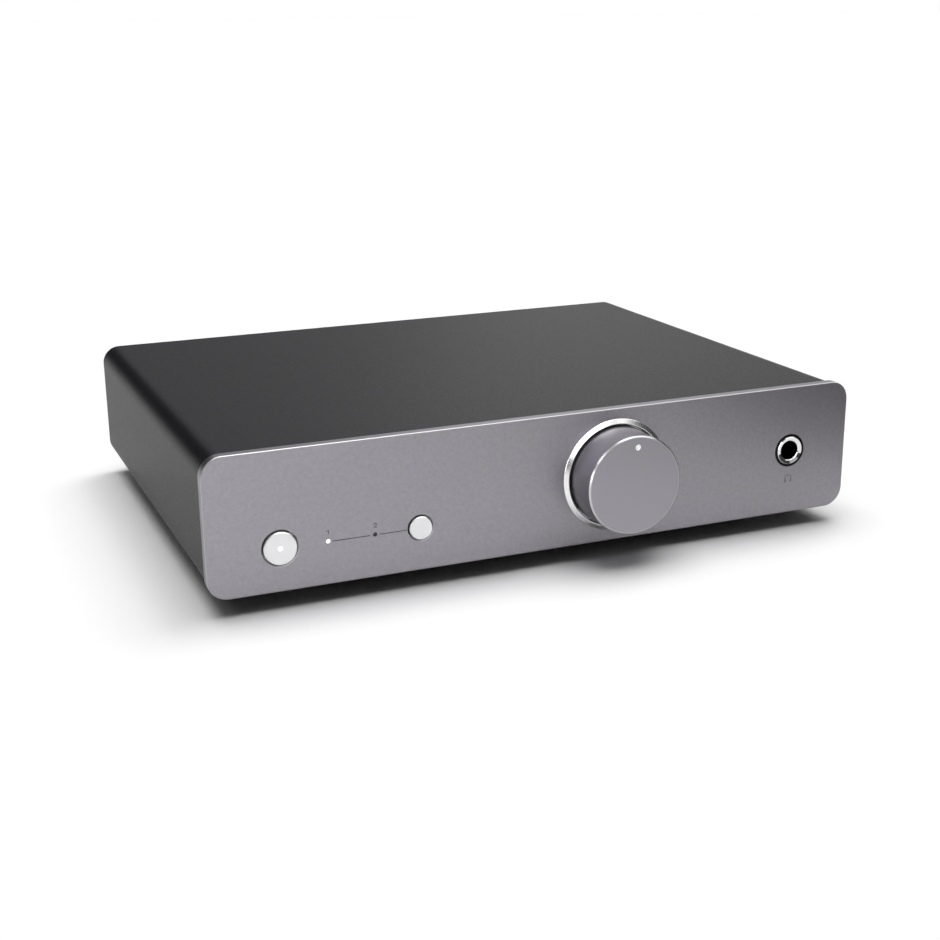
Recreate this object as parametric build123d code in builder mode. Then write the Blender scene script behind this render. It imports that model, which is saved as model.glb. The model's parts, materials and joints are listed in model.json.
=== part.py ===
from build123d import *
import os

# Half-width tabletop phono preamp with a headphone output.
# Millimetres, +Z up, +Y towards the back, origin under the middle of the object on the surface it stands on.

os.makedirs("parts", exist_ok=True)

# ---------------------------------------------------------------- driving dimensions
PLATE_W, PLATE_H, PLATE_T = 215.0, 42.5, 3.0
PLATE_R = 6.25
PLATE_EDGE = 0.2
FOOT_GAP = 5.5                      # from the surface to the plate's lower edge
DEPTH = 159.0                       # plate face to rear panel
REACH = 92.1                        # knob face in front, ground post end behind

CASE_INSET = 0.7                    # the case stands in from the plate all round
CASE_R = 6.0
SHEET = 1.2
LIP_IN = 88.0                       # the cover's bottom lips end this far from the middle

TRAY_W, TRAY_T = 201.0, 1.0

KNOB_X, KNOB_R = 22.0, 15.6
RING_R, RING_IN_R, RING_SPIGOT_R, RING_SEAT = 17.9, 16.3, 17.1, 0.8
RING_H = 0.7                        # the ring's inner edge stands this far in front of the plate
MARK_R = 0.95
MARK_DX, MARK_DZ = 0.70, 12.0

POWER_X, POWER_R, POWER_HOLE_R = -85.8, 5.0, 5.35
SELECT_X, SELECT_R, SELECT_HOLE_R = -42.9, 3.6, 3.9
LED1_X, LED2_X, LED_R, LED_HOLE_R = -71.5, -57.15, 0.6, 0.65
CTRL_UP = 13.2                      # buttons and lights above the plate's lower edge
BUTTON_PROUD = 0.5

JACK_X, JACK_HOLE_R, JACK_NOSE_R = 86.0, 5.5, 5.35
JACK_BUSH_R, JACK_BORE_R = 4.6, 3.2

RCA_X_LEFT = (86.0, 43.0, -9.0)     # input 1, input 2, output
RCA_PITCH = 15.0
RCA_Z = 24.0
RCA_SHELL_R, RCA_SHELL_IN_R, RCA_PIN_R = 4.15, 3.65, 1.62
GROUND_X, BALANCE_X, SLIDE_X, INLET_X = 57.0, 10.0, -45.0, -80.0
INLET_PIN_SPACING, INLET_PIN_R = 8.6, 1.18

BOARD_T = 1.6
STANDOFF_H = 5.0
FOOT_X, FOOT_Y, FOOT_R = 78.0, 58.0, 8.0

# ---------------------------------------------------------------- derived levels
Y_FRONT = -DEPTH / 2
Y_BACK = DEPTH / 2
Y_PB = Y_FRONT + PLATE_T            # plate's back
Y_SB = Y_PB + SHEET                 # subframe's back
Y_BOARD = -64.0                     # front board's front face
Z_PLATE = FOOT_GAP
Z_MID = FOOT_GAP + PLATE_H / 2
Z_CTRL = FOOT_GAP + CTRL_UP
CASE_W = PLATE_W - 2 * CASE_INSET
CASE_H = PLATE_H - 2 * 0.6
Z_CASE = Z_MID - CASE_H / 2
Z_TRAY = Z_CASE + SHEET
Z_FLOOR = Z_TRAY + TRAY_T           # tray's upper face
Z_PCB = Z_FLOOR + STANDOFF_H
Z_TOP = Z_PCB + BOARD_T             # boards' upper face
Y_PANEL = Y_BACK - SHEET            # rear panel's inner face

STUDS = [(-99.0, 13.5), (99.0, 13.5), (-99.0, 40.0), (99.0, 40.0)]
SPACERS = [(-92.0, 38.0), (44.0, 38.0), (-22.0, 15.5), (44.0, 15.5)]
LIP_SCREWS = [(sx * 94.0, y) for sx in (-1, 1) for y in (-55.0, 5.0, 65.0)]
FLANGE_SCREWS = [(-80.0, -69.0), (0.0, -69.0), (80.0, -69.0)]
MAIN_HOLES = [(-42.0, -44.0), (84.0, -44.0), (-42.0, 58.0), (84.0, 58.0)]
POWER_HOLES = [(-84.0, -44.0), (-58.0, -44.0), (-84.0, 56.0), (-58.0, 56.0)]
FEET = [(sx * FOOT_X, sy * FOOT_Y) for sx in (-1, 1) for sy in (-1, 1)]
REAR_SCREWS = [(-97.5, 13.0), (97.5, 13.0), (-97.5, 40.5), (97.5, 40.5)]
RCA_X = [x - d for x in RCA_X_LEFT for d in (0.0, RCA_PITCH)]
RCA_LEFT = list(RCA_X_LEFT)
RCA_RIGHT = [x - RCA_PITCH for x in RCA_X_LEFT]


def front(y):
    """Upright plane at depth y: local x is +X, local y is +Z, and a negative extrusion runs to the back."""
    return Plane.XZ.offset(-y)


def lathe(x, z):
    """Plane through a front-to-back axis at (x, z): local x is the radius, local y is the depth."""
    return Plane(origin=(x, 0, z), x_dir=(1, 0, 0), z_dir=(0, 0, 1))


def spin(x, z):
    return Axis((x, 0, z), (0, 1, 0))


def finish(builder, name):
    builder.part.label = name
    export_step(builder.part, f"parts/{name}.step")
    print(f"{name:28s} {len(builder.part.solids()):3d} solids {builder.part.volume:11.1f} mm3")


# ================================================================ casing
# Front plate: rounded rectangle with a broken edge, bored for the controls, with blind stud holes behind.
with BuildPart() as front_plate:
    with BuildSketch(front(Y_FRONT)):
        with Locations((0, Z_MID)):
            RectangleRounded(PLATE_W, PLATE_H, PLATE_R)
    extrude(amount=-PLATE_T)
    chamfer(front_plate.faces().sort_by(Axis.Y)[0].edges(), PLATE_EDGE)
    with BuildSketch(front(Y_FRONT)):
        with Locations((POWER_X, Z_CTRL)):
            Circle(POWER_HOLE_R)
        with Locations((SELECT_X, Z_CTRL)):
            Circle(SELECT_HOLE_R)
        with Locations((LED1_X, Z_CTRL), (LED2_X, Z_CTRL)):
            Circle(LED_HOLE_R)
        with Locations((JACK_X, Z_MID)):
            Circle(JACK_HOLE_R)
        with Locations((KNOB_X, Z_MID)):
            Circle(RING_SPIGOT_R)
    extrude(amount=-PLATE_T, mode=Mode.SUBTRACT)
    with BuildSketch(front(Y_FRONT)):
        with Locations((KNOB_X, Z_MID)):
            Circle(RING_R)
    extrude(amount=-RING_SEAT, mode=Mode.SUBTRACT)
    with BuildSketch(front(Y_PB)):
        with Locations(*STUDS):
            Circle(1.5)
    extrude(amount=1.8, mode=Mode.SUBTRACT)
    mouths = front_plate.edges().filter_by(GeomType.CIRCLE).filter_by(
        lambda e: abs(e.center().Y - Y_FRONT) < 0.01
        and (abs(e.radius - POWER_HOLE_R) < 0.01 or abs(e.radius - SELECT_HOLE_R) < 0.01))
    chamfer(mouths, 0.3)
finish(front_plate, "front_plate")

# Polished ring: a spigot in the plate and a raised collar whose bevel rises towards the knob.
with BuildPart() as knob_ring:
    with BuildSketch(lathe(KNOB_X, Z_MID)):
        with BuildLine():
            Polyline((RING_IN_R, Y_PB), (RING_IN_R, Y_FRONT - RING_H + 0.1), (RING_IN_R + 0.1, Y_FRONT - RING_H),
                     (RING_IN_R + 0.25, Y_FRONT - RING_H), (RING_R - 0.1, Y_FRONT - 0.15),
                     (RING_R, Y_FRONT - 0.05), (RING_R, Y_FRONT + RING_SEAT),
                     (RING_SPIGOT_R, Y_FRONT + RING_SEAT), (RING_SPIGOT_R, Y_PB), close=True)
        make_face()
    revolve(axis=spin(KNOB_X, Z_MID))
finish(knob_ring, "knob_ring")

# Studs pressed into the plate's back, and the nuts that hold the subframe on them.
with BuildPart() as plate_studs:
    with BuildSketch(front(Y_PB - 1.8)):
        with Locations(*STUDS):
            Circle(1.5)
    extrude(amount=-8.3)
    chamfer(plate_studs.faces().filter_by(Axis.Y).group_by(Axis.Y)[-1].edges(), 0.3)
finish(plate_studs, "plate_studs")

with BuildPart() as plate_nuts:
    with BuildSketch(front(Y_SB)):
        with Locations(*STUDS):
            RegularPolygon(radius=3.18, side_count=6)
            Circle(1.5, mode=Mode.SUBTRACT)
    extrude(amount=-2.4)
finish(plate_nuts, "plate_nuts")

# Folded steel subframe behind the plate, with a flange that stands on the tray.
with BuildPart() as front_subframe:
    with BuildSketch(front(Y_PB)):
        with Locations((0, (Z_FLOOR + 45.8) / 2)):
            Rectangle(207.0, 45.8 - Z_FLOOR)
    extrude(amount=-SHEET)
    fillet(front_subframe.edges().filter_by(Axis.Y).group_by(Axis.Z)[-1], 5.0)
    with BuildSketch(Plane.XY.offset(Z_FLOOR)):
        with Locations((0, (Y_PB - 62.0) / 2)):
            Rectangle(198.0, -62.0 - Y_PB)
    extrude(amount=SHEET)
    with BuildSketch(front(Y_PB)):
        with Locations(*STUDS):
            Circle(1.6)
        with Locations((POWER_X, Z_CTRL)):
            Circle(7.0)
        with Locations((SELECT_X, Z_CTRL)):
            Circle(5.6)
        with Locations((LED1_X, Z_CTRL), (LED2_X, Z_CTRL)):
            Circle(2.2)
        with Locations((KNOB_X, Z_MID)):
            Circle(3.55)
        with Locations((JACK_X, Z_MID)):
            Circle(JACK_HOLE_R)
        with Locations((JACK_X - 9, Z_MID), (JACK_X + 9, Z_MID), *SPACERS):
            Circle(1.5)
    extrude(amount=-SHEET, mode=Mode.SUBTRACT)
    with BuildSketch(Plane.XY.offset(Z_FLOOR)):
        with Locations(*FLANGE_SCREWS):
            Circle(1.5)
    extrude(amount=SHEET, mode=Mode.SUBTRACT)
finish(front_subframe, "front_subframe")

# Wrapped steel cover: top, both sides and an inward lip along each lower edge.
with BuildPart() as case_cover:
    with BuildSketch(front(Y_PB)):
        with Locations((0, Z_MID)):
            RectangleRounded(CASE_W, CASE_H, CASE_R)
            RectangleRounded(CASE_W - 2 * SHEET, CASE_H - 2 * SHEET, CASE_R - SHEET, mode=Mode.SUBTRACT)
        with Locations((0, Z_CASE)):
            Rectangle(2 * LIP_IN, 2 * SHEET + 1, mode=Mode.SUBTRACT)
    extrude(amount=-(Y_BACK - Y_PB))
    with Locations(*[Plane(origin=(x, y, Z_CASE), x_dir=(1, 0, 0), z_dir=(0, 0, -1)) for x, y in LIP_SCREWS]):
        CounterSinkHole(radius=1.6, counter_sink_radius=2.8, depth=SHEET, counter_sink_angle=90)
finish(case_cover, "case_cover")

# Base tray: flat sheet on the cover's lips, with side flanges and two tall tabs for the rear panel's screws.
with BuildPart() as base_tray:
    with BuildSketch(Plane.XY.offset(Z_TRAY)):
        with Locations((0, (Y_PB + 0.2 + Y_PANEL) / 2)):
            Rectangle(TRAY_W, Y_PANEL - Y_PB - 0.2)
    extrude(amount=TRAY_T)
    with BuildSketch(Plane.XY.offset(Z_FLOOR)):
        with Locations((-(TRAY_W - TRAY_T) / 2, 5), ((TRAY_W - TRAY_T) / 2, 5)):
            Rectangle(TRAY_T, 130)
    extrude(amount=6)
    with BuildSketch(Plane.XY.offset(Z_FLOOR)):
        with Locations((-97.5, Y_PANEL - SHEET / 2), (97.5, Y_PANEL - SHEET / 2)):
            Rectangle(6, SHEET)
    extrude(amount=36)
    with BuildSketch(front(Y_PANEL)):
        with Locations(*REAR_SCREWS):
            Circle(1.5)
    extrude(amount=SHEET, mode=Mode.SUBTRACT)
    with BuildSketch(Plane.XY.offset(Z_TRAY)):
        with Locations(*LIP_SCREWS, *FEET):
            Circle(1.5)
        with Locations(*FLANGE_SCREWS):
            Circle(1.6)
        with Locations(*MAIN_HOLES, *POWER_HOLES):
            Circle(2.0)
    extrude(amount=TRAY_T, mode=Mode.SUBTRACT)
finish(base_tray, "base_tray")

# Rear panel, bored and slotted for what comes out at the back.
with BuildPart() as rear_panel:
    with BuildSketch(front(Y_PANEL)):
        with Locations((0, Z_MID)):
            RectangleRounded(CASE_W - 2 * SHEET - 0.6, CASE_H - 2 * SHEET - 0.6, CASE_R - SHEET - 0.3)
        with Locations(*[(x, RCA_Z) for x in RCA_X]):
            Circle(5.3, mode=Mode.SUBTRACT)
        with Locations(*REAR_SCREWS):
            Circle(1.6, mode=Mode.SUBTRACT)
        with Locations((GROUND_X, RCA_Z)):
            Circle(1.95, mode=Mode.SUBTRACT)
        with Locations((BALANCE_X, RCA_Z)):
            Circle(3.6, mode=Mode.SUBTRACT)
        with Locations((SLIDE_X, RCA_Z)):
            Rectangle(9.2, 4.6, mode=Mode.SUBTRACT)
        with Locations((INLET_X, RCA_Z)):
            Rectangle(23.4, 12.8, mode=Mode.SUBTRACT)
    extrude(amount=-SHEET)
finish(rear_panel, "rear_panel")

# Countersunk screws through the lips into the tray.
with BuildPart() as case_screws:
    for x, y in LIP_SCREWS:
        with BuildSketch(Plane(origin=(x, y, 0), x_dir=(1, 0, 0), z_dir=(0, -1, 0))):
            with BuildLine():
                Polyline((0, Z_CASE), (2.7, Z_CASE), (1.5, Z_CASE + 1.2), (1.5, Z_CASE + 5.0), (0, Z_CASE + 5.0),
                         close=True)
            make_face()
        revolve(axis=Axis((x, y, 0), (0, 0, 1)))
    with BuildSketch(Plane.XY.offset(Z_CASE)):
        with Locations(*LIP_SCREWS):
            Rectangle(2.8, 0.6)
            Rectangle(0.6, 2.8)
    extrude(amount=0.8, mode=Mode.SUBTRACT)
finish(case_screws, "case_screws")

# Pan-head screws that hold the rear panel.
with BuildPart() as rear_screws:
    with BuildSketch(front(Y_BACK)):
        with Locations(*REAR_SCREWS):
            Circle(2.75)
    extrude(amount=-1.9)
    fillet(rear_screws.faces().filter_by(Axis.Y).group_by(Axis.Y)[-1].edges(), 0.7)
    with BuildSketch(front(Y_BACK)):
        with Locations(*REAR_SCREWS):
            Circle(1.5)
    extrude(amount=6.5)
    with BuildSketch(front(Y_BACK + 1.9)):
        with Locations(*REAR_SCREWS):
            Rectangle(3.0, 0.65)
            Rectangle(0.65, 3.0)
    extrude(amount=1.1, mode=Mode.SUBTRACT)
finish(rear_screws, "rear_screws")

# Rubber feet with a counterbore for the screw.
with BuildPart() as feet:
    for x, y in FEET:
        with BuildSketch(Plane(origin=(x, y, 0), x_dir=(1, 0, 0), z_dir=(0, -1, 0))):
            with BuildLine():
                Polyline((3.4, 0), (7.0, 0), (7.8, 0.8), (FOOT_R, Z_TRAY - 0.6), (FOOT_R - 0.6, Z_TRAY),
                         (1.6, Z_TRAY), (1.6, 4.3), (3.4, 4.3), close=True)
            make_face()
        revolve(axis=Axis((x, y, 0), (0, 0, 1)))
finish(feet, "feet")

with BuildPart() as foot_screws:
    with BuildSketch(Plane.XY.offset(2.4)):
        with Locations(*FEET):
            Circle(2.75)
    extrude(amount=1.9)
    with BuildSketch(Plane.XY.offset(4.3)):
        with Locations(*FEET):
            Circle(1.5)
    extrude(amount=6.0)
    with BuildSketch(Plane.XY.offset(2.4)):
        with Locations(*FEET):
            Rectangle(3.0, 0.65)
            Rectangle(0.65, 3.0)
    extrude(amount=1.1, mode=Mode.SUBTRACT)
finish(foot_screws, "foot_screws")

# ================================================================ front board and buttons
with BuildPart() as front_board:
    with BuildSketch(front(Y_BOARD)):
        with Locations((-24.0, 27.75)):
            Rectangle(146.0, 30.5)
        with Locations(*SPACERS):
            Circle(1.6, mode=Mode.SUBTRACT)
    extrude(amount=-BOARD_T)
finish(front_board, "front_board")

with BuildPart() as front_board_spacers:
    with BuildSketch(front(Y_SB)):
        with Locations(*SPACERS):
            RegularPolygon(radius=3.1, side_count=6)
            Circle(1.5, mode=Mode.SUBTRACT)
    extrude(amount=-(Y_BOARD - Y_SB))
finish(front_board_spacers, "front_board_spacers")

# Push switches: the power one has a ring-shaped plunger round its light, the select one a plain plunger.
with BuildPart() as tact_switches:
    with BuildSketch(front(Y_BOARD)):
        with Locations((POWER_X, Z_CTRL)):
            Rectangle(12.0, 12.0)
    extrude(amount=4.0)
    with BuildSketch(front(Y_BOARD - 4.0)):
        with Locations((POWER_X, Z_CTRL)):
            Circle(4.26)
            Circle(2.24, mode=Mode.SUBTRACT)
    extrude(amount=-3.0, mode=Mode.SUBTRACT)
    with BuildSketch(front(Y_BOARD - 4.0)):
        with Locations((POWER_X, Z_CTRL)):
            Circle(1.6)
    extrude(amount=-4.0, mode=Mode.SUBTRACT)
    with BuildSketch(front(Y_BOARD)):
        with Locations((SELECT_X, Z_CTRL)):
            Rectangle(6.0, 6.0)
    extrude(amount=3.5)
    with BuildSketch(front(Y_BOARD - 3.5)):
        with Locations((SELECT_X, Z_CTRL)):
            Circle(1.76)
    extrude(amount=-2.5, mode=Mode.SUBTRACT)
finish(tact_switches, "tact_switches")

with BuildPart() as power_plunger:
    with BuildSketch(front(Y_BOARD - 5.2)):
        with Locations((POWER_X, Z_CTRL)):
            Circle(4.2)
            Circle(2.3, mode=Mode.SUBTRACT)
    extrude(amount=-3.2)
finish(power_plunger, "power_plunger")

with BuildPart() as select_plunger:
    with BuildSketch(front(Y_BOARD - 4.6)):
        with Locations((SELECT_X, Z_CTRL)):
            Circle(1.7)
    extrude(amount=-2.4)
finish(select_plunger, "select_plunger")

# Power button: dished cap, retaining flange behind the plate and a hollow stem for the light guide.
with BuildPart() as power_button:
    with BuildSketch(lathe(POWER_X, Z_CTRL)):
        with BuildLine():
            Polyline((0.7, Y_FRONT - BUTTON_PROUD + 0.25), (POWER_R - 0.25, Y_FRONT - BUTTON_PROUD),
                     (POWER_R, Y_FRONT - BUTTON_PROUD + 0.25), (POWER_R, Y_PB + 0.2), (6.3, Y_PB + 0.2),
                     (6.3, Y_PB + 1.4), (4.2, Y_PB + 1.4), (4.2, Y_BOARD - 5.2), (2.0, Y_BOARD - 5.2),
                     (2.0, Y_FRONT + 1.1), (0.7, Y_FRONT + 1.1), close=True)
        make_face()
    revolve(axis=spin(POWER_X, Z_CTRL))
finish(power_button, "power_button")

with BuildPart() as power_light_guide:
    with BuildSketch(lathe(POWER_X, Z_CTRL)):
        with BuildLine():
            Polyline((0, Y_FRONT - BUTTON_PROUD + 0.2), (0.7, Y_FRONT - BUTTON_PROUD + 0.25), (0.7, Y_FRONT + 1.1),
                     (2.0, Y_FRONT + 1.1), (2.0, Y_BOARD - 5.4), (0, Y_BOARD - 5.4), close=True)
        make_face()
    revolve(axis=spin(POWER_X, Z_CTRL))
finish(power_light_guide, "power_light_guide")

with BuildPart() as select_button:
    with BuildSketch(lathe(SELECT_X, Z_CTRL)):
        with BuildLine():
            Polyline((0, Y_FRONT - BUTTON_PROUD + 0.2), (SELECT_R - 0.25, Y_FRONT - BUTTON_PROUD),
                     (SELECT_R, Y_FRONT - BUTTON_PROUD + 0.25), (SELECT_R, Y_PB + 0.2), (4.9, Y_PB + 0.2),
                     (4.9, Y_PB + 1.4), (2.0, Y_PB + 1.4), (2.0, Y_BOARD - 4.6), (0, Y_BOARD - 4.6), close=True)
        make_face()
    revolve(axis=spin(SELECT_X, Z_CTRL))
finish(select_button, "select_button")

# Guides on the subframe's back, in which the button stems slide.
with BuildPart() as button_guides:
    for x, recess, brim, tube, stem in ((POWER_X, 6.9, 9.0, 6.0, 4.28), (SELECT_X, 5.5, 8.0, 4.0, 2.08)):
        with BuildSketch(lathe(x, Z_CTRL)):
            with BuildLine():
                Polyline((recess, Y_SB), (brim, Y_SB), (brim, Y_SB + 1.9), (tube, Y_SB + 1.9), (tube, Y_SB + 5.1),
                         (stem, Y_SB + 5.1), (stem, Y_SB + 1.2), (recess, Y_SB + 1.2), close=True)
            make_face()
        revolve(axis=spin(x, Z_CTRL))
finish(button_guides, "button_guides")

# Light emitters on the front board: a dome inside the power switch and one chip behind each input light.
with BuildPart() as front_leds:
    with BuildSketch(front(Y_BOARD)):
        with Locations((POWER_X, Z_CTRL)):
            Circle(1.5)
        with Locations((LED1_X, Z_CTRL), (LED2_X, Z_CTRL)):
            Rectangle(2.0, 1.25)
    extrude(amount=1.1)
    with BuildSketch(front(Y_BOARD - 1.1)):
        with Locations((POWER_X, Z_CTRL)):
            Circle(1.5)
    extrude(amount=1.9)
finish(front_leds, "front_leds")

with BuildPart() as input_1_light_guide:
    with BuildSketch(lathe(LED1_X, Z_CTRL)):
        with BuildLine():
            Polyline((0, Y_FRONT - 0.05), (0.45, Y_FRONT - 0.02), (LED_R, Y_FRONT + 0.1), (LED_R, Y_PB), (1.9, Y_PB),
                     (1.9, Y_PB + 1.0), (1.2, Y_PB + 1.0), (1.2, Y_BOARD - 1.3), (0, Y_BOARD - 1.3), close=True)
        make_face()
    revolve(axis=spin(LED1_X, Z_CTRL))
finish(input_1_light_guide, "input_1_light_guide")

with BuildPart() as input_2_light_guide:
    with BuildSketch(lathe(LED2_X, Z_CTRL)):
        with BuildLine():
            Polyline((0, Y_FRONT - 0.05), (0.45, Y_FRONT - 0.02), (LED_R, Y_FRONT + 0.1), (LED_R, Y_PB), (1.9, Y_PB),
                     (1.9, Y_PB + 1.0), (1.2, Y_PB + 1.0), (1.2, Y_BOARD - 1.3), (0, Y_BOARD - 1.3), close=True)
        make_face()
    revolve(axis=spin(LED2_X, Z_CTRL))
finish(input_2_light_guide, "input_2_light_guide")

# ================================================================ volume control
# Turned knob: a cup with a central boss, and a shallow seat for the marker in its face.
with BuildPart() as volume_knob:
    with BuildSketch(lathe(KNOB_X, Z_MID)):
        with BuildLine():
            Polyline((0, -REACH), (KNOB_R - 0.4, -REACH), (KNOB_R, -REACH + 0.4), (KNOB_R, Y_FRONT + 0.8),
                     (KNOB_R - 0.2, Y_FRONT + 1.0), (13.2, Y_FRONT + 1.0), (13.2, -87.6), (5.6, -87.6), (5.6, -80.2),
                     (4.4, -80.2), (4.4, -89.6), (0, -89.6), close=True)
        make_face()
    revolve(axis=spin(KNOB_X, Z_MID))
    with BuildSketch(front(-REACH)):
        with Locations((KNOB_X + MARK_DX, Z_MID + MARK_DZ)):
            Circle(MARK_R)
    extrude(amount=-0.5, mode=Mode.SUBTRACT)
finish(volume_knob, "volume_knob")

# Marker: a bright disc with a small dimple in its middle.
with BuildPart() as knob_marker:
    with BuildSketch(lathe(KNOB_X + MARK_DX, Z_MID + MARK_DZ)):
        with BuildLine():
            Polyline((0, -REACH + 0.2), (0.4, -REACH + 0.05), (MARK_R, -REACH + 0.05), (MARK_R, -REACH + 0.5),
                     (0, -REACH + 0.5), close=True)
        make_face()
    revolve(axis=spin(KNOB_X + MARK_DX, Z_MID + MARK_DZ))
finish(knob_marker, "knob_marker")

with BuildPart() as knob_insert:
    with BuildSketch(front(-89.6)):
        with Locations((KNOB_X, Z_MID)):
            Circle(4.4)
    extrude(amount=-9.2)
    with BuildSketch(front(-88.8)):
        with Locations((KNOB_X, Z_MID)):
            Circle(3.0)
        with Locations((KNOB_X, Z_MID + 3.0)):
            Rectangle(8.0, 3.0, mode=Mode.SUBTRACT)
    extrude(amount=-8.4, mode=Mode.SUBTRACT)
finish(knob_insert, "knob_insert")

# Shaft: round in the bush, with a flat along the end that the insert grips.
with BuildPart() as pot_shaft:
    with BuildSketch(front(-80.4)):
        with Locations((KNOB_X, Z_MID)):
            Circle(3.0)
    extrude(amount=-14.1)
    with BuildSketch(front(-88.8)):
        with Locations((KNOB_X, Z_MID)):
            Circle(3.0)
        with Locations((KNOB_X, Z_MID + 3.0)):
            Rectangle(8.0, 3.0, mode=Mode.SUBTRACT)
    extrude(amount=-8.4)
finish(pot_shaft, "pot_shaft")

with BuildPart() as pot_body:
    with BuildSketch(front(Y_SB)):
        with Locations((KNOB_X, Z_MID)):
            RectangleRounded(17.0, 20.0, 1.0)
    extrude(amount=-(Y_BOARD - Y_SB))
    with BuildSketch(front(Y_SB)):
        with Locations((KNOB_X, Z_MID)):
            Circle(3.5)
    extrude(amount=4.0)
    with BuildSketch(front(Y_SB - 4.0)):
        with Locations((KNOB_X, Z_MID)):
            Circle(3.06)
    extrude(amount=-13.4, mode=Mode.SUBTRACT)
finish(pot_body, "pot_body")

with BuildPart() as pot_washer:
    with BuildSketch(front(Y_PB)):
        with Locations((KNOB_X, Z_MID)):
            Circle(5.9)
            Circle(3.55, mode=Mode.SUBTRACT)
    extrude(amount=0.5)
finish(pot_washer, "pot_washer")

with BuildPart() as pot_nut:
    with BuildSketch(front(Y_PB - 0.5)):
        with Locations((KNOB_X, Z_MID)):
            RegularPolygon(radius=5.77, side_count=6)
            Circle(3.5, mode=Mode.SUBTRACT)
    extrude(amount=2.0)
finish(pot_nut, "pot_nut")

# ================================================================ headphone socket
with BuildPart() as headphone_jack:
    with BuildSketch(front(Y_SB)):
        with Locations((JACK_X, Z_MID)):
            RectangleRounded(24.0, 18.0, 2.0)
    extrude(amount=-1.5)
    with BuildSketch(front(Y_SB + 1.5)):
        with Locations((JACK_X, Z_MID)):
            Rectangle(12.0, 15.0)
    extrude(amount=-23.8)
    with BuildSketch(front(Y_SB)):
        with Locations((JACK_X, Z_MID)):
            Circle(JACK_NOSE_R)
    extrude(amount=4.15)
    with BuildSketch(front(Y_SB - 4.15)):
        with Locations((JACK_X, Z_MID)):
            Circle(JACK_BUSH_R)
    extrude(amount=-8.25, mode=Mode.SUBTRACT)
    with BuildSketch(front(Y_SB + 4.1)):
        with Locations((JACK_X, Z_MID)):
            Circle(JACK_BORE_R + 0.2)
    extrude(amount=-18.0, mode=Mode.SUBTRACT)
    with BuildSketch(front(Y_SB + 5.5)):
        with Locations((JACK_X, Z_MID + 1.925), (JACK_X, Z_MID - 1.925)):
            Rectangle(3.2, 3.85)
    extrude(amount=-19.8, mode=Mode.SUBTRACT)
    with BuildSketch(front(Y_SB)):
        with Locations((JACK_X - 9, Z_MID), (JACK_X + 9, Z_MID)):
            Circle(1.6)
    extrude(amount=-1.5, mode=Mode.SUBTRACT)
finish(headphone_jack, "headphone_jack")

# Bushing: its face is a shallow dish, lowest at the bore.
with BuildPart() as jack_bushing:
    with BuildSketch(lathe(JACK_X, Z_MID)):
        with BuildLine():
            Polyline((JACK_BORE_R, Y_SB + 4.1), (JACK_BORE_R, Y_FRONT + 0.1), (JACK_BORE_R + 0.2, Y_FRONT - 0.05),
                     (JACK_BUSH_R - 0.15, Y_FRONT - 0.35), (JACK_BUSH_R, Y_FRONT - 0.2), (JACK_BUSH_R, Y_SB + 4.1),
                     close=True)
        make_face()
    revolve(axis=spin(JACK_X, Z_MID))
finish(jack_bushing, "jack_bushing")

with BuildPart() as jack_contacts:
    with BuildSketch(front(Y_SB + 6.0)):
        with Locations((JACK_X, Z_MID + 3.65), (JACK_X, Z_MID - 3.65)):
            Rectangle(3.0, 0.4)
    extrude(amount=-22.8)
finish(jack_contacts, "jack_contacts")

# ================================================================ rear sockets
with BuildPart() as rca_housings:
    with BuildSketch(front(66.0)):
        with Locations(*[(x, (Z_TOP + 31.0) / 2) for x in RCA_X]):
            Rectangle(12.6, 31.0 - Z_TOP)
    extrude(amount=-(Y_PANEL - 66.0))
    with BuildSketch(front(Y_PANEL)):
        with Locations(*[(x, RCA_Z) for x in RCA_X]):
            Circle(5.2)
    extrude(amount=-1.7)
    with BuildSketch(front(72.0)):
        with Locations(*[(x, RCA_Z) for x in RCA_X]):
            Circle(4.6)
    extrude(amount=-8.0, mode=Mode.SUBTRACT)
    with BuildSketch(front(68.0)):
        with Locations(*[(x, RCA_Z) for x in RCA_X]):
            Circle(2.1)
    extrude(amount=-4.0, mode=Mode.SUBTRACT)
finish(rca_housings, "rca_housings")

with BuildPart() as rca_shells:
    for x in RCA_X:
        with BuildSketch(lathe(x, RCA_Z)):
            with BuildLine():
                Polyline((RCA_SHELL_IN_R, 72.0), (4.6, 72.0), (4.6, 80.0), (RCA_SHELL_R, 80.0), (RCA_SHELL_R, 88.6),
                         (RCA_SHELL_R - 0.25, 89.0), (RCA_SHELL_IN_R, 89.0), close=True)
            make_face()
        revolve(axis=spin(x, RCA_Z))
finish(rca_shells, "rca_shells")

with BuildPart() as rca_insulators_white:
    for x in RCA_LEFT:
        with BuildSketch(lathe(x, RCA_Z)):
            with BuildLine():
                Polyline((2.1, 72.0), (RCA_SHELL_IN_R, 72.0), (RCA_SHELL_IN_R, 87.2), (2.1, 87.2), close=True)
            make_face()
        revolve(axis=spin(x, RCA_Z))
finish(rca_insulators_white, "rca_insulators_white")

with BuildPart() as rca_insulators_red:
    for x in RCA_RIGHT:
        with BuildSketch(lathe(x, RCA_Z)):
            with BuildLine():
                Polyline((2.1, 72.0), (RCA_SHELL_IN_R, 72.0), (RCA_SHELL_IN_R, 87.2), (2.1, 87.2), close=True)
            make_face()
        revolve(axis=spin(x, RCA_Z))
finish(rca_insulators_red, "rca_insulators_red")

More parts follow.
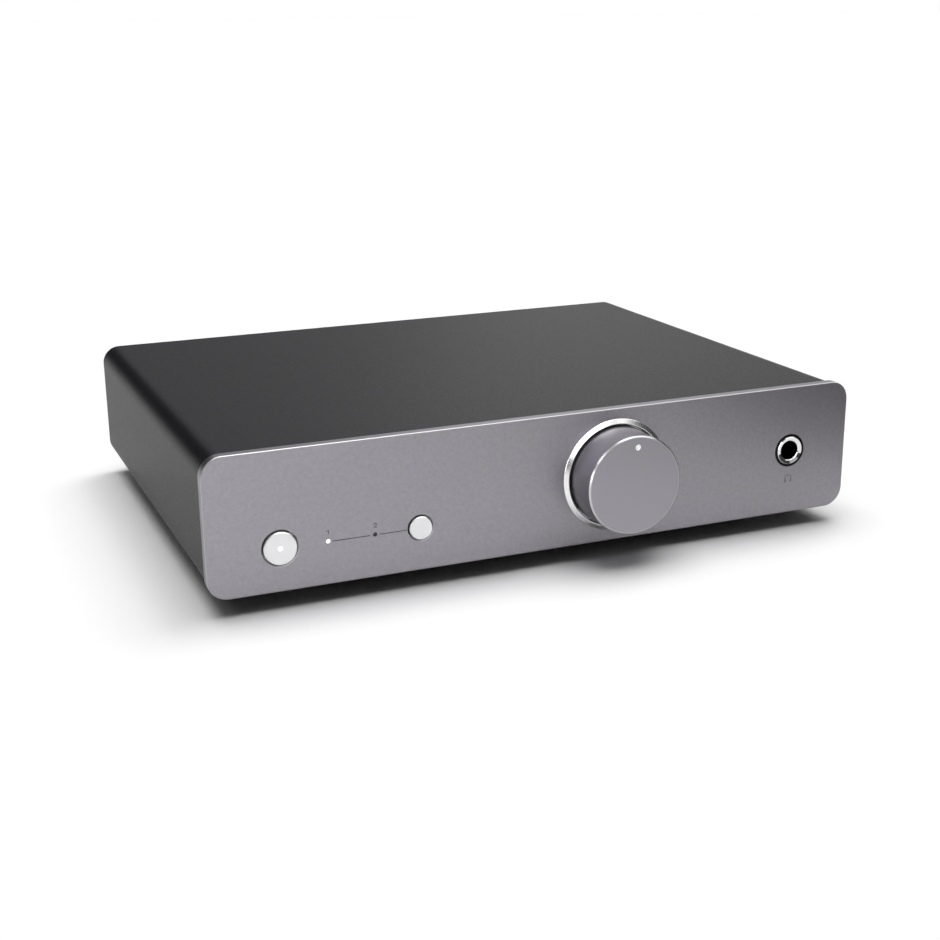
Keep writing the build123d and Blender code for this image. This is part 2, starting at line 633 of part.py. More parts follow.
# Centre contacts: they grip the plug's pin at the mouth and are a little wider behind.
with BuildPart() as rca_contacts:
    for x in RCA_X:
        with BuildSketch(lathe(x, RCA_Z)):
            with BuildLine():
                Polyline((0, 68.0), (2.1, 68.0), (2.1, 87.2), (RCA_PIN_R, 87.2), (RCA_PIN_R, 80.2), (1.8, 80.2),
                         (1.8, 73.0), (0, 73.0), close=True)
            make_face()
        revolve(axis=spin(x, RCA_Z))
finish(rca_contacts, "rca_contacts")

# Ground post: a threaded stud with a hexagonal collar outside the panel and a staked head inside.
with BuildPart() as ground_post:
    with BuildSketch(front(Y_PANEL)):
        with Locations((GROUND_X, RCA_Z)):
            Circle(1.95)
    extrude(amount=-(REACH - Y_PANEL))
    chamfer(ground_post.faces().sort_by(Axis.Y)[-1].edges(), 0.4)
    with BuildSketch(front(Y_BACK)):
        with Locations((GROUND_X, RCA_Z)):
            RegularPolygon(radius=4.6, side_count=6)
    extrude(amount=-1.5)
    with BuildSketch(front(Y_PANEL)):
        with Locations((GROUND_X, RCA_Z)):
            Circle(3.2)
    extrude(amount=1.6)
finish(ground_post, "ground_post")

with BuildPart() as ground_washer:
    with BuildSketch(front(81.1)):
        with Locations((GROUND_X, RCA_Z)):
            Circle(4.6)
            Circle(2.02, mode=Mode.SUBTRACT)
    extrude(amount=-0.8)
finish(ground_washer, "ground_washer")

# Thumb nut with straight knurling.
with BuildPart() as ground_nut:
    with BuildSketch(lathe(GROUND_X, RCA_Z)):
        with BuildLine():
            Polyline((2.0, 82.0), (3.9, 82.0), (3.9, 83.0), (4.7, 83.0), (5.0, 83.3), (5.0, 89.5), (4.5, 90.0),
                     (2.0, 90.0), close=True)
        make_face()
    revolve(axis=spin(GROUND_X, RCA_Z))
    with BuildSketch(front(83.0)):
        with Locations((GROUND_X, RCA_Z)):
            with PolarLocations(5.05, 24):
                Circle(0.32)
    extrude(amount=-7.0, mode=Mode.SUBTRACT)
finish(ground_nut, "ground_nut")

# Balance control on the main board, and its knob with a moulded shaft.
with BuildPart() as balance_pot:
    with BuildSketch(front(66.3)):
        with Locations((BALANCE_X, (Z_TOP + 30.0) / 2)):
            Rectangle(10.6, 30.0 - Z_TOP)
    extrude(amount=-10.0)
    with BuildSketch(front(76.3)):
        with Locations((BALANCE_X, RCA_Z)):
            Circle(3.55)
    extrude(amount=-2.9)
    with BuildSketch(front(71.5)):
        with Locations((BALANCE_X, RCA_Z)):
            Circle(2.56)
    extrude(amount=-7.7, mode=Mode.SUBTRACT)
finish(balance_pot, "balance_pot")

with BuildPart() as balance_knob:
    with BuildSketch(lathe(BALANCE_X, RCA_Z)):
        with BuildLine():
            Polyline((0, 72.2), (2.5, 72.2), (2.5, 80.2), (5.6, 80.2), (5.6, 81.2), (5.2, 88.4), (4.7, 89.0),
                     (0, 89.0), close=True)
        make_face()
    revolve(axis=spin(BALANCE_X, RCA_Z))
    with BuildSketch(front(81.2)):
        with Locations((BALANCE_X, RCA_Z)):
            with PolarLocations(5.75, 18):
                Circle(0.4)
    extrude(amount=-7.8, mode=Mode.SUBTRACT)
    with BuildSketch(front(89.0)):
        with Locations((BALANCE_X, RCA_Z + 2.6)):
            Rectangle(0.8, 4.4)
    extrude(amount=0.4, mode=Mode.SUBTRACT)
finish(balance_knob, "balance_knob")

# Two-position slide switch, lever towards +X at rest.
with BuildPart() as slide_switch:
    with BuildSketch(front(71.3)):
        with Locations((SLIDE_X, (Z_TOP + 27.5) / 2)):
            Rectangle(13.0, 27.5 - Z_TOP)
    extrude(amount=-(Y_PANEL - 71.3))
    with BuildSketch(front(75.5)):
        with Locations((SLIDE_X, RCA_Z)):
            Rectangle(8.4, 4.2)
    extrude(amount=-(Y_PANEL - 75.5), mode=Mode.SUBTRACT)
finish(slide_switch, "slide_switch")

with BuildPart() as slide_lever:
    with BuildSketch(front(75.9)):
        with Locations((SLIDE_X + 1.8, RCA_Z)):
            Rectangle(3.4, 3.4)
    extrude(amount=-5.9)
    with BuildSketch(front(81.8)):
        with Locations((SLIDE_X + 1.8 - 1.0, RCA_Z), (SLIDE_X + 1.8, RCA_Z), (SLIDE_X + 1.8 + 1.0, RCA_Z)):
            Rectangle(0.4, 3.4)
    extrude(amount=0.4, mode=Mode.SUBTRACT)
finish(slide_lever, "slide_lever")

# Two-pin mains inlet with a figure-eight recess.
with BuildPart() as mains_inlet:
    with BuildSketch(front(64.0)):
        with Locations((INLET_X, RCA_Z)):
            Rectangle(23.0, 12.4)
    extrude(amount=-(Y_BACK - 64.0))
    with BuildSketch(front(Y_BACK)):
        with Locations((INLET_X, RCA_Z)):
            RectangleRounded(29.0, 16.6, 2.0)
    extrude(amount=-1.6)
    chamfer(mains_inlet.faces().sort_by(Axis.Y)[-1].edges(), 0.4)
    with BuildSketch(front(Y_BACK + 1.6)):
        with Locations((INLET_X - INLET_PIN_SPACING / 2, RCA_Z), (INLET_X + INLET_PIN_SPACING / 2, RCA_Z)):
            Circle(4.1)
        with Locations((INLET_X, RCA_Z)):
            Rectangle(INLET_PIN_SPACING, 6.0)
    extrude(amount=12.0, mode=Mode.SUBTRACT)
    with BuildSketch(front(64.0)):
        with Locations((INLET_X - INLET_PIN_SPACING / 2, RCA_Z), (INLET_X + INLET_PIN_SPACING / 2, RCA_Z)):
            Circle(INLET_PIN_R)
    extrude(amount=-5.2, mode=Mode.SUBTRACT)
finish(mains_inlet, "mains_inlet")

with BuildPart() as mains_pins:
    for sx in (-1, 1):
        with BuildSketch(lathe(INLET_X + sx * INLET_PIN_SPACING / 2, RCA_Z)):
            with BuildLine():
                Polyline((0, 61.0), (INLET_PIN_R, 61.0), (INLET_PIN_R, 78.7), (0.7, 79.4), (0, 79.4), close=True)
            make_face()
        revolve(axis=spin(INLET_X + sx * INLET_PIN_SPACING / 2, RCA_Z))
finish(mains_pins, "mains_pins")

# ================================================================ boards and what they carry
with BuildPart() as main_board:
    with BuildSketch(Plane.XY.offset(Z_PCB)):
        with Locations((23.0, 13.5)):
            Rectangle(142.0, 127.0)
        with Locations(*MAIN_HOLES):
            Circle(1.6, mode=Mode.SUBTRACT)
    extrude(amount=BOARD_T)
finish(main_board, "main_board")

with BuildPart() as psu_board:
    with BuildSketch(Plane.XY.offset(Z_PCB)):
        with Locations((-73.5, 13.5)):
            Rectangle(43.0, 127.0)
        with Locations(*POWER_HOLES):
            Circle(1.6, mode=Mode.SUBTRACT)
    extrude(amount=BOARD_T)
finish(psu_board, "psu_board")

with BuildPart() as board_standoffs:
    with BuildSketch(Plane.XY.offset(Z_FLOOR)):
        with Locations(*MAIN_HOLES, *POWER_HOLES):
            RegularPolygon(radius=3.1, side_count=6)
    extrude(amount=STANDOFF_H)
    with BuildSketch(Plane.XY.offset(Z_TRAY)):
        with Locations(*MAIN_HOLES, *POWER_HOLES):
            Circle(2.0)
    extrude(amount=TRAY_T)
    with BuildSketch(Plane.XY.offset(Z_PCB)):
        with Locations(*MAIN_HOLES, *POWER_HOLES):
            Circle(1.5)
    extrude(amount=-4.6, mode=Mode.SUBTRACT)
finish(board_standoffs, "board_standoffs")

# All the pan-head screws inside: each plane lies under a head and points out through it.
SEATS = [Plane(origin=(x, y, Z_TOP), x_dir=(1, 0, 0), z_dir=(0, 0, 1)) for x, y in MAIN_HOLES + POWER_HOLES]
SEATS += [Plane(origin=(x, y, Z_TRAY), x_dir=(1, 0, 0), z_dir=(0, 0, -1)) for x, y in FLANGE_SCREWS]
SEATS += [Plane(origin=(x, Y_BOARD + BOARD_T, z), x_dir=(1, 0, 0), z_dir=(0, 1, 0)) for x, z in SPACERS]
SEATS += [Plane(origin=(JACK_X + d, Y_SB + 1.5, Z_MID), x_dir=(1, 0, 0), z_dir=(0, 1, 0)) for d in (-9, 9)]
SHANKS = [5.8] * 8 + [3.4] * 3 + [7.0] * 4 + [2.7] * 2
with BuildPart() as board_screws:
    for seat, shank in zip(SEATS, SHANKS):
        with BuildSketch(seat):
            Circle(2.75)
        extrude(amount=1.9)
        with BuildSketch(seat):
            Circle(1.5)
        extrude(amount=-shank)
        with BuildSketch(seat.offset(1.9)):
            Rectangle(3.0, 0.65)
            Rectangle(0.65, 3.0)
        extrude(amount=-1.1, mode=Mode.SUBTRACT)
finish(board_screws, "board_screws")

# Transformer: ferrite core round a wound bobbin, made as one potted block with feet of tape.
with BuildPart() as transformer:
    with BuildSketch(Plane.XY.offset(Z_TOP)):
        with Locations((-76.0, 8.0)):
            Rectangle(24.0, 20.0)
    extrude(amount=21.0)
    with BuildSketch(Plane.XY.offset(Z_TOP + 4.0)):
        with Locations((-76.0, 8.0)):
            RectangleRounded(18.0, 26.0, 3.0)
    extrude(amount=13.0)
finish(transformer, "transformer")

with BuildPart() as heatsink:
    with BuildSketch(Plane.XY.offset(Z_TOP)):
        with Locations((-56.0, 8.0)):
            Rectangle(2.0, 40.0)
        with Locations(*[(-58.5, 8.0 + k * 6.0) for k in range(-3, 4)]):
            Rectangle(3.0, 1.4)
    extrude(amount=24.0)
finish(heatsink, "heatsink")

CAPS = [(-87.0, -16.0, 6.3, 22.0), (-72.0, -18.0, 5.0, 18.0), (-88.0, 36.0, 4.0, 12.0), (-70.0, 36.0, 5.0, 16.0)]
CAPS += [(60.0 + 12.0 * k, -10.0, 5.0, 16.0) for k in range(3)]
CAPS += [(60.0 + 12.0 * k, 10.0, 4.0, 11.0) for k in range(3)]
CAPS += [(-36.0 + 11.0 * k, 48.0, 4.0, 11.0) for k in range(4)]
with BuildPart() as electrolytic_capacitors:
    for x, y, r, h in CAPS:
        with BuildSketch(Plane.XY.offset(Z_TOP)):
            with Locations((x, y)):
                Circle(r)
        extrude(amount=h)
finish(electrolytic_capacitors, "electrolytic_capacitors")

with BuildPart() as film_capacitors:
    with BuildSketch(Plane.XY.offset(Z_TOP)):
        with Locations(*[(84.0 - 14.0 * k, 42.0) for k in range(5)], *[(20.0 - 12.0 * k, 20.0) for k in range(4)]):
            Rectangle(7.2, 3.5)
    extrude(amount=8.0)
finish(film_capacitors, "film_capacitors")

with BuildPart() as amplifier_chips:
    with BuildSketch(Plane.XY.offset(Z_TOP)):
        with Locations(*[(80.0 - 13.0 * k, 30.0) for k in range(4)], *[(14.0 - 13.0 * k, 4.0) for k in range(4)]):
            Rectangle(5.0, 4.0)
    extrude(amount=1.6)
finish(amplifier_chips, "amplifier_chips")

with BuildPart() as relays:
    with BuildSketch(Plane.XY.offset(Z_TOP)):
        with Locations((74.0, 54.0), (38.0, 54.0), (-20.0, 34.0)):
            Rectangle(7.4, 14.5)
    extrude(amount=10.0)
finish(relays, "relays")

# Flat cable from the front board back and down to the main board, with a plug at each end.
with BuildPart() as ribbon_cable:
    with BuildSketch(Plane.YZ.offset(-30.0)):
        with BuildLine():
            FilletPolyline((-58.4, 30.0), (-40.0, 30.0), (-40.0, 18.9), radius=5.0)
        trace(line_width=0.9)
    extrude(amount=16.0)
    with BuildSketch(front(Y_BOARD + BOARD_T)):
        with Locations((-22.0, 30.0)):
            Rectangle(20.0, 6.0)
    extrude(amount=-4.0)
    with BuildSketch(Plane.XY.offset(Z_TOP)):
        with Locations((-22.0, -40.0)):
            Rectangle(20.0, 6.0)
    extrude(amount=4.0)
finish(ribbon_cable, "ribbon_cable")

# Flat lead from the headphone contacts down to the main board.
with BuildPart() as headphone_lead:
    with BuildSketch(Plane.YZ.offset(JACK_X - 3.0)):
        with BuildLine():
            FilletPolyline((-44.5, Z_MID), (-34.0, Z_MID), (-34.0, 18.9), radius=4.0)
        trace(line_width=0.9)
    extrude(amount=6.0)
    with BuildSketch(front(-46.5)):
        with Locations((JACK_X, Z_MID)):
            Rectangle(8.0, 9.0)
    extrude(amount=-2.0)
    with BuildSketch(Plane.XY.offset(Z_TOP)):
        with Locations((JACK_X, -34.0)):
            Rectangle(9.0, 6.0)
    extrude(amount=4.0)
finish(headphone_lead, "headphone_lead")
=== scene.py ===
import math

import bmesh
import bpy
from mathutils import Matrix, Vector
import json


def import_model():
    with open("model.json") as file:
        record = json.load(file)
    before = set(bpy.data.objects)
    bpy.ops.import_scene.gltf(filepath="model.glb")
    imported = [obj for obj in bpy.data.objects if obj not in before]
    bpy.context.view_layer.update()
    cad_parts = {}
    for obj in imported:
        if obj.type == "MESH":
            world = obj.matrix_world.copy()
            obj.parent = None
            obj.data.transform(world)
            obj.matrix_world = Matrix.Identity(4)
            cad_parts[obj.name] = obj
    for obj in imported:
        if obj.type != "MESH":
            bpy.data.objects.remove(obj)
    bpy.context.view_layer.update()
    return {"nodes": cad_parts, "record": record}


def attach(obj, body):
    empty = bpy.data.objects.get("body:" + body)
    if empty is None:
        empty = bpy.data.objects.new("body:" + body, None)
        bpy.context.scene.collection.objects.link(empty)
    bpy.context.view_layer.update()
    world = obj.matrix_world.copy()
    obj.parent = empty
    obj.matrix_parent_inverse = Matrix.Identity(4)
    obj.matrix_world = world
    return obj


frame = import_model()
N = frame["nodes"]
MM = 0.001

# ---------------------------------------------------------------- places shared with the CAD, in millimetres
Y_FACE = -79.5                  # the front plate's face
Y_REAR = 79.5                   # the rear panel's outer face
Z_MID = 26.75
Z_CTRL = 18.7
KNOB_X = 22.0
KNOB_FACE = -92.1
RCA_X = (86.0, 71.0, 43.0, 28.0, -9.0, -24.0)
RCA_Z = 24.0
POWER_X, SELECT_X, JACK_X = -85.8, -42.9, 86.0
LED1_X, LED2_X = -71.5, -57.15
GROUND_X, BALANCE_X, SLIDE_X, INLET_X = 57.0, 10.0, -45.0, -80.0
MARK_X, MARK_Z = 22.7, 38.75


# ================================================================ materials
class Nodes:
    """Short names for building one material's node tree."""

    def __init__(self, name):
        self.m = bpy.data.materials.new(name)
        self.m.use_nodes = True
        self.t = self.m.node_tree
        self.t.nodes.clear()
        self.out = self.t.nodes.new("ShaderNodeOutputMaterial")
        self.b = self.t.nodes.new("ShaderNodeBsdfPrincipled")
        self.link(self.b.outputs[0], self.out.inputs[0])
        self.co = self.t.nodes.new("ShaderNodeTexCoord").outputs["Object"]

    def link(self, a, b):
        self.t.links.new(a, b)

    def put(self, socket, value):
        if hasattr(value, "is_output"):
            self.link(value, socket)
        else:
            socket.default_value = value

    def math(self, op, a, b=0.0, clamp=False):
        n = self.t.nodes.new("ShaderNodeMath")
        n.operation, n.use_clamp = op, clamp
        self.put(n.inputs[0], a)
        self.put(n.inputs[1], b)
        return n.outputs[0]

    def split(self, v):
        n = self.t.nodes.new("ShaderNodeSeparateXYZ")
        self.put(n.inputs[0], v)
        return n.outputs

    def join(self, x, y, z):
        n = self.t.nodes.new("ShaderNodeCombineXYZ")
        for i, v in enumerate((x, y, z)):
            self.put(n.inputs[i], v)
        return n.outputs[0]

    def noise(self, scale, detail=2.0, rough=0.5, vector=None, stretch=None):
        v = vector or self.co
        if stretch:
            n = self.t.nodes.new("ShaderNodeMapping")
            self.link(v, n.inputs["Vector"])
            n.inputs["Scale"].default_value = stretch
            v = n.outputs[0]
        n = self.t.nodes.new("ShaderNodeTexNoise")
        self.link(v, n.inputs["Vector"])
        n.inputs["Scale"].default_value = scale
        n.inputs["Detail"].default_value = detail
        n.inputs["Roughness"].default_value = rough
        return n.outputs[0]

    def span(self, value, lo, hi, from_lo=0.0, from_hi=1.0):
        n = self.t.nodes.new("ShaderNodeMapRange")
        self.put(n.inputs["Value"], value)
        n.inputs["From Min"].default_value = from_lo
        n.inputs["From Max"].default_value = from_hi
        n.inputs["To Min"].default_value = lo
        n.inputs["To Max"].default_value = hi
        return n.outputs[0]

    def ramp(self, fac, stops):
        n = self.t.nodes.new("ShaderNodeValToRGB")
        self.put(n.inputs[0], fac)
        e = n.color_ramp.elements
        while len(e) < len(stops):
            e.new(0.5)
        for k, (p, c) in enumerate(stops):
            e[k].position = p
            e[k].color = (*c, 1.0)
        return n.outputs[0]

    def bump(self, height, distance, normal=None, strength=1.0):
        n = self.t.nodes.new("ShaderNodeBump")
        self.put(n.inputs["Height"], height)
        n.inputs["Distance"].default_value = distance
        n.inputs["Strength"].default_value = strength
        if normal is not None:
            self.link(normal, n.inputs["Normal"])
        return n.outputs[0]

    def radius(self, x, z):
        """Distance from the front-to-back axis at (x, z)."""
        p = self.split(self.co)
        dx = self.math("SUBTRACT", p[0], x * MM)
        dz = self.math("SUBTRACT", p[2], z * MM)
        return self.math("SQRT", self.math("ADD", self.math("MULTIPLY", dx, dx), self.math("MULTIPLY", dz, dz)))

    def turned(self, x, z, scale):
        """Noise that is the same all round the front-to-back axis at (x, z): the marks of a lathe tool."""
        return self.noise(scale, 2.0, 0.6, vector=self.join(self.radius(x, z), self.split(self.co)[1], 0.0))

    def band(self, value, lo, hi, soft=0.02):
        """1 where value is between lo and hi millimetres, 0 outside."""
        up = self.span(value, 0.0, 1.0, (lo - soft) * MM, lo * MM)
        down = self.span(value, 1.0, 0.0, hi * MM, (hi + soft) * MM)
        return self.math("MULTIPLY", up, down)

    def over(self, mask, colour, rough):
        """Where the mask is 1, the surface has that colour and roughness instead."""
        for socket, value, kind, a, b, o in (("Base Color", (*colour, 1.0), "RGBA", 6, 7, 2),
                                             ("Roughness", rough, "FLOAT", 2, 3, 0)):
            target = self.b.inputs[socket]
            n = self.t.nodes.new("ShaderNodeMix")
            n.data_type = kind
            self.link(mask, n.inputs[0])
            self.link(target.links[0].from_socket, n.inputs[a])
            n.inputs[b].default_value = value
            self.link(n.outputs[o], target)

    def blend_colour(self, fac, a, b):
        return self.ramp(fac, [(0.0, a), (1.0, b)])


def shade(c, k):
    return tuple(max(0.0, min(1.0, v * k)) for v in c)


def varied(name, colour, rough, metal=0.0, spread=0.05, size=0.6, rough_spread=0.04, bumps=((0.3, 0.01),),
           blotch=0.0, blotch_size=12.0, ior=1.5, specular=0.5):
    """Colour and roughness that vary at size mm, a bump for each (size, height) in mm, and slower blotches."""
    s = Nodes(name)
    fine = s.noise(1 / (size * MM), 3.0)
    fac = s.span(fine, 0.0, 1.0, 0.3, 0.7)
    if blotch:
        slow = s.noise(1 / (blotch_size * MM), 2.0)
        fac = s.math("ADD", s.math("MULTIPLY", fac, 1 - blotch), s.math("MULTIPLY", s.span(slow, 0, 1, 0.3, 0.7), blotch),
                     clamp=True)
    s.link(s.blend_colour(fac, shade(colour, 1 - spread), shade(colour, 1 + spread)), s.b.inputs["Base Color"])
    s.link(s.span(fine, rough - rough_spread, rough + rough_spread, 0.3, 0.7), s.b.inputs["Roughness"])
    s.b.inputs["Metallic"].default_value = metal
    s.b.inputs["IOR"].default_value = ior
    s.b.inputs["Specular IOR Level"].default_value = specular
    normal = None
    for bsize, height in bumps:
        normal = s.bump(s.noise(1 / (bsize * MM), 2.0), height * MM, normal)
    if normal is not None:
        s.link(normal, s.b.inputs["Normal"])
    return s


def lathed(name, x, z, colour, rough, metal=1.0, aniso=0.0, line=0.12, depth=0.0012, spread=0.03, grain=None,
           hub=0.0):
    """A part turned on a lathe about the front-to-back axis at (x, z): fine rings in its bump, colour and roughness.

    Within hub mm of the axis it is shaded flat, because a mesh has no smooth normal at the tip of a shallow cone.
    """
    s = Nodes(name)
    base = None
    if hub:
        g, pick = s.t.nodes.new("ShaderNodeNewGeometry"), s.t.nodes.new("ShaderNodeMix")
        pick.data_type = "VECTOR"
        s.link(s.span(s.radius(x, z), 0.0, 1.0, hub * MM, (hub + 0.1) * MM), pick.inputs[0])
        s.link(g.outputs["True Normal"], pick.inputs[4])
        s.link(g.outputs["Normal"], pick.inputs[5])
        base = pick.outputs[1]
    rings = s.turned(x, z, 1 / (line * MM))
    s.link(s.blend_colour(s.span(rings, 0, 1, 0.3, 0.7), shade(colour, 1 - spread), shade(colour, 1 + spread)),
           s.b.inputs["Base Color"])
    s.link(s.span(rings, rough * 0.85, rough * 1.15, 0.3, 0.7), s.b.inputs["Roughness"])
    s.b.inputs["Metallic"].default_value = metal
    fade = s.span(s.radius(x, z), 0.0, 1.0, 0.2 * MM, 1.2 * MM)
    normal = s.bump(s.math("MULTIPLY", rings, fade), depth * MM, base)
    if grain:
        normal = s.bump(s.noise(1 / (grain[0] * MM), 2.0), grain[1] * MM, normal)
    s.link(normal, s.b.inputs["Normal"])
    if aniso:
        s.b.inputs["Anisotropic"].default_value = aniso
        t = s.t.nodes.new("ShaderNodeTangent")
        t.direction_type, t.axis = "RADIAL", "Y"
        s.link(t.outputs[0], s.b.inputs["Tangent"])
    return s


def glowing(name, colour, strength):
    """A lit light guide, with the faint mottling of moulded acrylic."""
    s = Nodes(name)
    fine = s.noise(1 / (0.25 * MM), 2.0)
    c = s.blend_colour(s.span(fine, 0, 1, 0.3, 0.7), shade(colour, 0.96), colour)
    s.link(c, s.b.inputs["Base Color"])
    s.link(c, s.b.inputs["Emission Color"])
    s.b.inputs["Emission Strength"].default_value = strength
    s.b.inputs["Roughness"].default_value = 0.3
    return s


PLATE_GREY = (0.294, 0.281, 0.309)
plate_mat = varied("plate_aluminium_blasted", PLATE_GREY, 0.42, metal=1.0, spread=0.105, size=0.45, rough_spread=0.03,
                   bumps=((0.22, 0.006), (0.6, 0.006)), blotch=0.40, blotch_size=1.5)
plate_depth = plate_mat.split(plate_mat.co)[1]
plate_mat.over(plate_mat.band(plate_depth, Y_FACE + 0.23, Y_FACE + 3.1), (0.207, 0.198, 0.217), 0.36)   # its rim: painted shade, darker than the face for the dark reflection it should catch
plate_mat.over(plate_mat.band(plate_depth, Y_FACE + 0.02, Y_FACE + 0.19), (0.42, 0.41, 0.43), 0.32)     # cut edge
for hx, hr in ((POWER_X, 5.35), (SELECT_X, 3.9)):      # the mouths of the button holes were cut after blasting
    mouth = plate_mat.math("MULTIPLY", plate_mat.band(plate_mat.radius(hx, Z_CTRL), hr + 0.01, hr + 0.31),
                           plate_mat.band(plate_depth, Y_FACE + 0.01, Y_FACE + 0.29))
    plate_mat.over(mouth, (0.50, 0.50, 0.51), 0.22)
knob_mat = lathed("knob_aluminium_blasted", KNOB_X, Z_MID, (0.316, 0.302, 0.333), 0.40, line=0.5, depth=0.0004,
                  spread=0.020, grain=(0.22, 0.006))
knob_mat.over(knob_mat.math("MULTIPLY", knob_mat.band(knob_mat.radius(KNOB_X, Z_MID), 15.3, 15.7),
                            knob_mat.band(knob_mat.split(knob_mat.co)[1], KNOB_FACE + 0.42, KNOB_FACE + 14.0)),
              (0.258, 0.246, 0.271), 0.42)             # painted shade: its side is darker than its face, for the shade and the dark plate it reflects
knob_mat.over(knob_mat.math("MULTIPLY", knob_mat.band(knob_mat.radius(KNOB_X, Z_MID), 15.0, 15.7),
                            knob_mat.band(knob_mat.split(knob_mat.co)[1], KNOB_FACE + 0.01, KNOB_FACE + 0.39)),
              (0.55, 0.55, 0.56), 0.24)                # its front edge is cut brighter and smoother
ring_mat = lathed("ring_aluminium_polished", KNOB_X, Z_MID, (0.82, 0.82, 0.82), 0.20, line=0.14, depth=0.0014,
                  spread=0.03)
# Painted shade: the ring's inner wall, in the gap round the knob, is painted near black.
ring_mat.over(ring_mat.band(ring_mat.radius(KNOB_X, Z_MID), 16.0, 16.33), (0.12, 0.12, 0.125), 0.45)
power_mat = lathed("power_button_spun", POWER_X, Z_CTRL, (0.74, 0.74, 0.75), 0.34, line=0.12, depth=0.0010)
select_mat = lathed("select_button_spun", SELECT_X, Z_CTRL, (0.74, 0.74, 0.75), 0.34, line=0.12, depth=0.0010, hub=3.1)
case_mat = varied("case_powder_coat", (0.0051, 0.0051, 0.0076), 0.40, spread=0.10, size=0.45, rough_spread=0.05,
                  bumps=((0.35, 0.008), (0.9, 0.010)), blotch=0.2, blotch_size=20.0, specular=0.11)
panel_mat = varied("panel_powder_coat", (0.022, 0.022, 0.023), 0.50, spread=0.12, size=0.4, rough_spread=0.05,
                   bumps=((0.30, 0.010), (0.8, 0.012)))
zinc_mat = varied("zinc_plated_steel", (0.56, 0.57, 0.58), 0.34, metal=1.0, spread=0.10, size=2.2, rough_spread=0.08,
                  bumps=((1.2, 0.006),), blotch=0.4, blotch_size=7.0)
screw_mat = varied("black_zinc_screws", (0.035, 0.036, 0.040), 0.34, metal=0.6, spread=0.2, size=0.5,
                   rough_spread=0.08, bumps=((0.3, 0.004),))
rubber_mat = varied("moulded_rubber", (0.018, 0.018, 0.018), 0.72, spread=0.25, size=0.7, rough_spread=0.08,
                    bumps=((0.4, 0.02),), ior=1.45)
board_mat = varied("solder_mask", (0.010, 0.085, 0.035), 0.32, spread=0.30, size=1.6, rough_spread=0.06,
                   bumps=((1.4, 0.02),), blotch=0.4, blotch_size=6.0)
nose_mat = varied("socket_black_moulding", (0.004, 0.004, 0.004), 0.35, spread=0.2, size=0.4, rough_spread=0.06,
                  bumps=((0.25, 0.003),), specular=0.12)
bushing_mat = lathed("socket_bushing_plated", JACK_X, Z_MID, (0.74, 0.74, 0.74), 0.07, line=0.10, depth=0.0004,
                     spread=0.02)
black_mat = varied("black_moulded_plastic", (0.016, 0.016, 0.017), 0.42, spread=0.2, size=0.5, rough_spread=0.08,
                   bumps=((0.25, 0.006),))
can_mat = varied("pressed_steel_can", (0.60, 0.60, 0.59), 0.30, metal=1.0, spread=0.06, size=1.5, rough_spread=0.06,
                 bumps=((0.8, 0.004),))


marker_mat = lathed("marker_bright_turned", MARK_X, MARK_Z, (0.90, 0.90, 0.90), 0.26, line=0.10, depth=0.0004,
                    spread=0.02)
lit_mat = glowing("light_guide_lit", (1.0, 1.0, 1.0), 1.3)
dark_mat = varied("light_guide_dark", (0.030, 0.030, 0.034), 0.18, spread=0.1, size=0.3, bumps=((0.3, 0.002),))
emitter_mat = varied("emitter_resin", (0.80, 0.80, 0.70), 0.25, spread=0.05, size=0.4)
nickel_mat = varied("nickel_plate", (0.74, 0.72, 0.68), 0.14, metal=1.0, spread=0.05, size=0.8, rough_spread=0.04,
                    bumps=((0.5, 0.002),))
gold_mat = varied("gold_plate", (0.86, 0.60, 0.24), 0.20, metal=1.0, spread=0.06, size=0.5, rough_spread=0.05,
                  bumps=((0.4, 0.002),))
brass_mat = varied("gilt_brass", (0.83, 0.62, 0.30), 0.22, metal=1.0, spread=0.06, size=0.6, rough_spread=0.06,
                   bumps=((0.4, 0.003),))
white_mat = varied("white_insulator", (0.80, 0.80, 0.78), 0.30, spread=0.04, size=0.6, bumps=((0.3, 0.003),))
red_mat = varied("red_insulator", (0.52, 0.016, 0.014), 0.30, spread=0.08, size=0.6, bumps=((0.3, 0.003),))
lever_mat = varied("slide_lever_plastic", (0.42, 0.42, 0.42), 0.45, spread=0.06, size=0.4, bumps=((0.25, 0.006),))
ferrite_mat = varied("varnished_transformer", (0.055, 0.045, 0.030), 0.35, spread=0.35, size=1.2, bumps=((0.8, 0.03),))
heatsink_mat = varied("heatsink_black_anodised", (0.035, 0.035, 0.038), 0.42, metal=0.7, spread=0.15, size=0.8,
                      bumps=((0.4, 0.005),))
cap_mat = varied("capacitor_sleeve", (0.020, 0.022, 0.045), 0.28, spread=0.2, size=1.0, bumps=((0.6, 0.004),))
film_mat = varied("film_capacitor_box", (0.50, 0.060, 0.030), 0.30, spread=0.12, size=1.0, bumps=((0.6, 0.006),))
cable_mat = varied("grey_cable_sheath", (0.38, 0.38, 0.37), 0.50, spread=0.10, size=0.8, bumps=((0.5, 0.01),))
ink_dark = varied("printed_ink_dark", (0.050, 0.048, 0.052), 0.55, spread=0.15, size=0.3, bumps=((0.2, 0.003),))
ink_faint = varied("etched_mark", (0.145, 0.140, 0.150), 0.60, metal=0.6, spread=0.10, size=0.3,
                   bumps=((0.2, 0.004),))
ink_white = varied("printed_ink_white", (0.70, 0.70, 0.70), 0.55, spread=0.06, size=0.3, bumps=((0.2, 0.003),))

